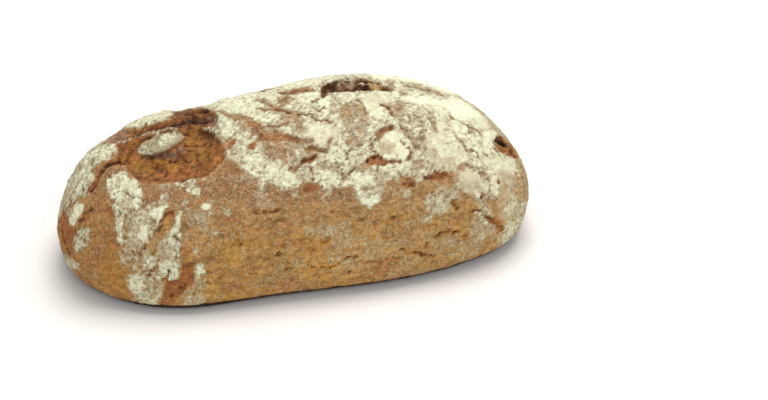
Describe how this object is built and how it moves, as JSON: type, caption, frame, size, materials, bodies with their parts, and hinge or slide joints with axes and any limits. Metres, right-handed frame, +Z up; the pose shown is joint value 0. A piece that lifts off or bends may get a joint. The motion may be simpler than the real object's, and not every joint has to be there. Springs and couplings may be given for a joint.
{
  "type": "rye bread loaf",
  "caption": "Whole uncut rye bread loaf, an oblong hearth loaf with a flat bottom, a floured brown crust and a torn burst near one end.",
  "frame": {"origin": "on the flat bottom crust, under the middle of the loaf's box", "axes": "+X along the loaf's length towards its fuller end, +Y across it towards its back, +Z up out of the flat bottom crust"},
  "size_m": [0.3214, 0.161, 0.1063],
  "materials": {
    "crust": "baked brown rye crust, matt, with caked pale flour over the top"
  },
  "bodies": {
    "root": {"loaf": "crust"}
  },
  "joints": []
}
